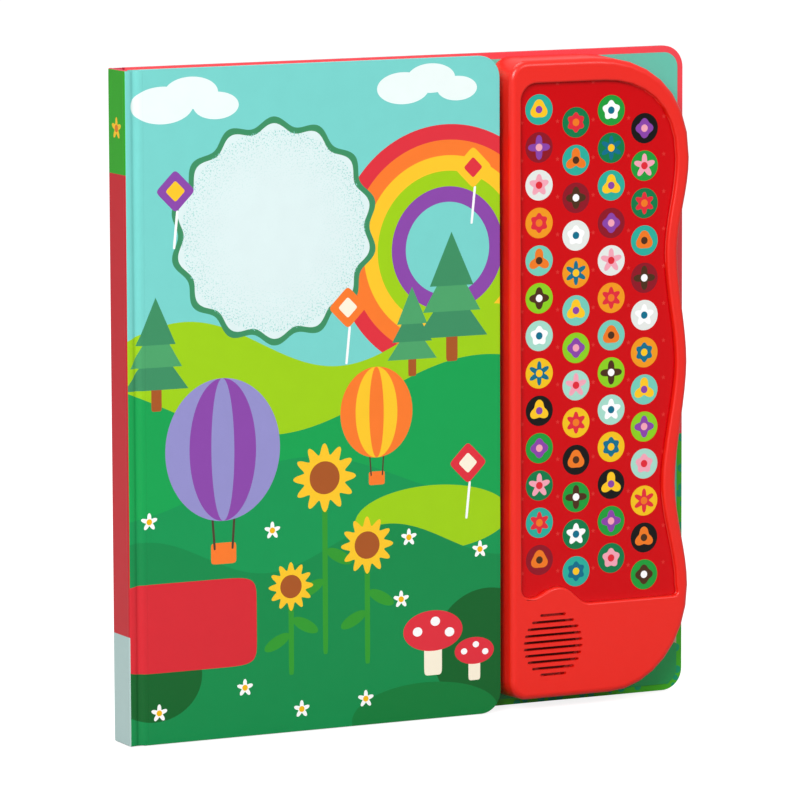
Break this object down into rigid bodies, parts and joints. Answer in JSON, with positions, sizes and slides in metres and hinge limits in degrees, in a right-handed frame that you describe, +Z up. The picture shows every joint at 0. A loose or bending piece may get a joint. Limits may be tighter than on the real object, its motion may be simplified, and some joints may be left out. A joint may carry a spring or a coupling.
{
  "type": "sound book",
  "caption": "Upright hardcover picture book with a wavy red button sound module beside its pages; the front cover and spine hinge open.",
  "frame": {"origin": "centre of the bounding box on the surface that the book stands on", "axes": "+X from the spine to the fore-edge, +Y from the front cover to the back cover, +Z up along the spine"},
  "size_m": [0.287, 0.022, 0.3],
  "materials": {
    "printed_front": "greyboard wrapped in gloss-laminated printed paper",
    "printed_spine": "greyboard strip wrapped in gloss-laminated printed paper",
    "printed_back": "greyboard wrapped in gloss-laminated printed paper",
    "endpaper": "matt printed endpaper",
    "pages": "stiff white board leaves, coated",
    "housing": "moulded red ABS, satin gloss",
    "housing_inner": "moulded red ABS, matt",
    "film": "printed polyester film, glossy",
    "silicone": "moulded silicone keypad",
    "circuit": "green solder mask on a fibreglass board",
    "epoxy": "black epoxy blob",
    "steel": "zinc-plated steel",
    "cone": "black paper cone",
    "magnet": "black ferrite magnet with a steel pot",
    "lead": "insulated copper lead",
    "battery": "plain sleeved cell"
  },
  "bodies": {
    "back": {"back_cover": "printed_back", "back_lining": "endpaper", "page_block": "pages", "housing_front": "housing", "housing_back": "housing_inner", "overlay_film": "film", "keypad": "silicone", "circuit_board": "circuit", "sound_chip": "epoxy", "speaker_frame": "steel", "speaker_cone": "cone", "speaker_magnet": "magnet", "speaker_lead_1": "lead", "speaker_lead_2": "lead", "battery_1": "battery", "battery_2": "battery", "battery_spring_1": "steel", "battery_spring_2": "steel", "battery_contact_plus": "steel", "battery_contact_minus": "steel", "battery_bridge": "steel", "battery_door": "housing_inner", "battery_door_screw": "steel", "housing_screw_1": "steel", "housing_screw_2": "steel", "housing_screw_3": "steel", "housing_screw_4": "steel", "housing_screw_5": "steel", "housing_screw_6": "steel"},
    "spine": {"spine": "printed_spine"},
    "front": {"front_cover": "printed_front", "front_lining": "endpaper"}
  },
  "joints": [
    {"name": "spine_fold", "type": "hinge", "parent": "back", "child": "spine", "pos_m": [-0.1435, 0.011, 0.15], "axis": [0, 0, -1], "range_deg": [0, 90]},
    {"name": "front_cover_fold", "type": "hinge", "parent": "spine", "child": "front", "pos_m": [-0.1435, -0.007, 0.15], "axis": [0, 0, -1], "range_deg": [0, 180]}
  ]
}
